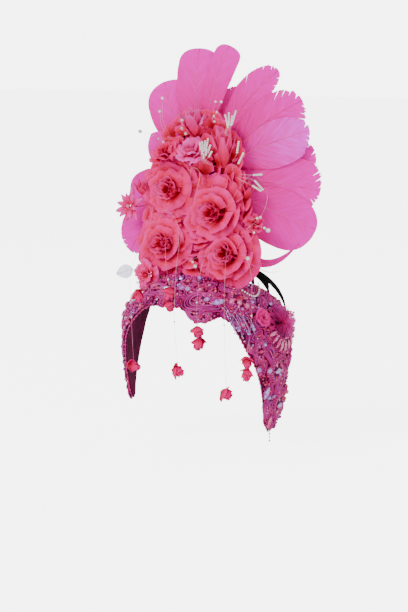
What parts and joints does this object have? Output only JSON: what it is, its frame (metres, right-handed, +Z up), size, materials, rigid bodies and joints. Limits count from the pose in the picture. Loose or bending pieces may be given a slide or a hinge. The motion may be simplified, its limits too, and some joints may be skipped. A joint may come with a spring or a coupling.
{
  "type": "stage headpiece with feather fan, silk roses and beaded lace headband",
  "caption": "Stage headpiece: a pink feather fan behind coral silk roses, on a beaded lace headband with long temple tails, crown straps and rosebud drops.",
  "frame": {"origin": "top of the head that the piece sits on, on the head's centre line, under the felt cap", "axes": "+Z up, front faces -Y, the wearer's left is +X"},
  "size_m": [0.2146, 0.1637, 0.3807],
  "materials": {
    "band_felt": "felt under beaded lace",
    "black_felt": "matte felt",
    "buckram": "stiffened open weave",
    "elastic": "ribbed elastic",
    "rose_silk": "pressed silk petals",
    "feather": "dyed feather, soft sheen",
    "lace_beads": "lace crusted with glossy beads and cut stones",
    "pearl": "pearl lustre",
    "drop_silk": "small silk rosebuds on clear thread"
  },
  "bodies": {
    "root": {"headband": "band_felt", "crown_base": "black_felt", "crown_panel": "buckram", "strap_left_front": "elastic", "strap_left_mid": "elastic", "strap_left_rear": "elastic", "strap_right_front": "elastic", "strap_right_rear": "elastic", "rose_upper_left": "rose_silk", "rose_centre": "rose_silk", "rose_lower_left": "rose_silk", "rose_lower_right": "rose_silk", "bloom_upper_centre": "rose_silk", "bloom_top": "rose_silk", "bloom_upper_right": "rose_silk", "bloom_upper_left": "rose_silk", "star_flower_left": "rose_silk", "bud_left": "rose_silk", "bloom_low_left": "rose_silk", "bloom_right": "rose_silk", "petals_right": "rose_silk", "feather_low_left": "feather", "feather_left_low": "feather", "feather_left_point": "feather", "feather_left_broad": "feather", "feather_top_left": "feather", "feather_top_right": "feather", "feather_back_top": "feather", "feather_right_sickle": "feather", "feather_right_high": "feather", "feather_right_pale": "feather", "feather_right_mid": "feather", "feather_right_low": "feather", "feather_right_broad": "feather", "feather_back_low": "feather", "feather_right_curl": "feather", "lace_brow_right": "lace_beads", "lace_brow_centre": "lace_beads", "lace_brow_left": "lace_beads", "lace_marquise": "lace_beads", "lace_peak": "lace_beads", "lace_temple_left": "lace_beads", "dahlia_left": "lace_beads", "lace_cheek_left": "lace_beads", "lace_jaw_left": "lace_beads", "lace_tail_left": "lace_beads", "lace_temple_right": "lace_beads", "lace_cheek_right": "lace_beads", "spray_upper_left": "pearl", "spray_bugles_centre": "pearl", "spray_bugles_top": "pearl", "spray_rods_right": "pearl", "spray_pearls_low": "pearl", "drop_temple_right": "drop_silk", "drop_brow": "drop_silk", "drop_cheek_right": "drop_silk", "drop_nose": "drop_silk", "drop_eye_left": "drop_silk", "drop_cheek_left": "drop_silk", "drop_temple_left": "drop_silk"}
  },
  "joints": []
}
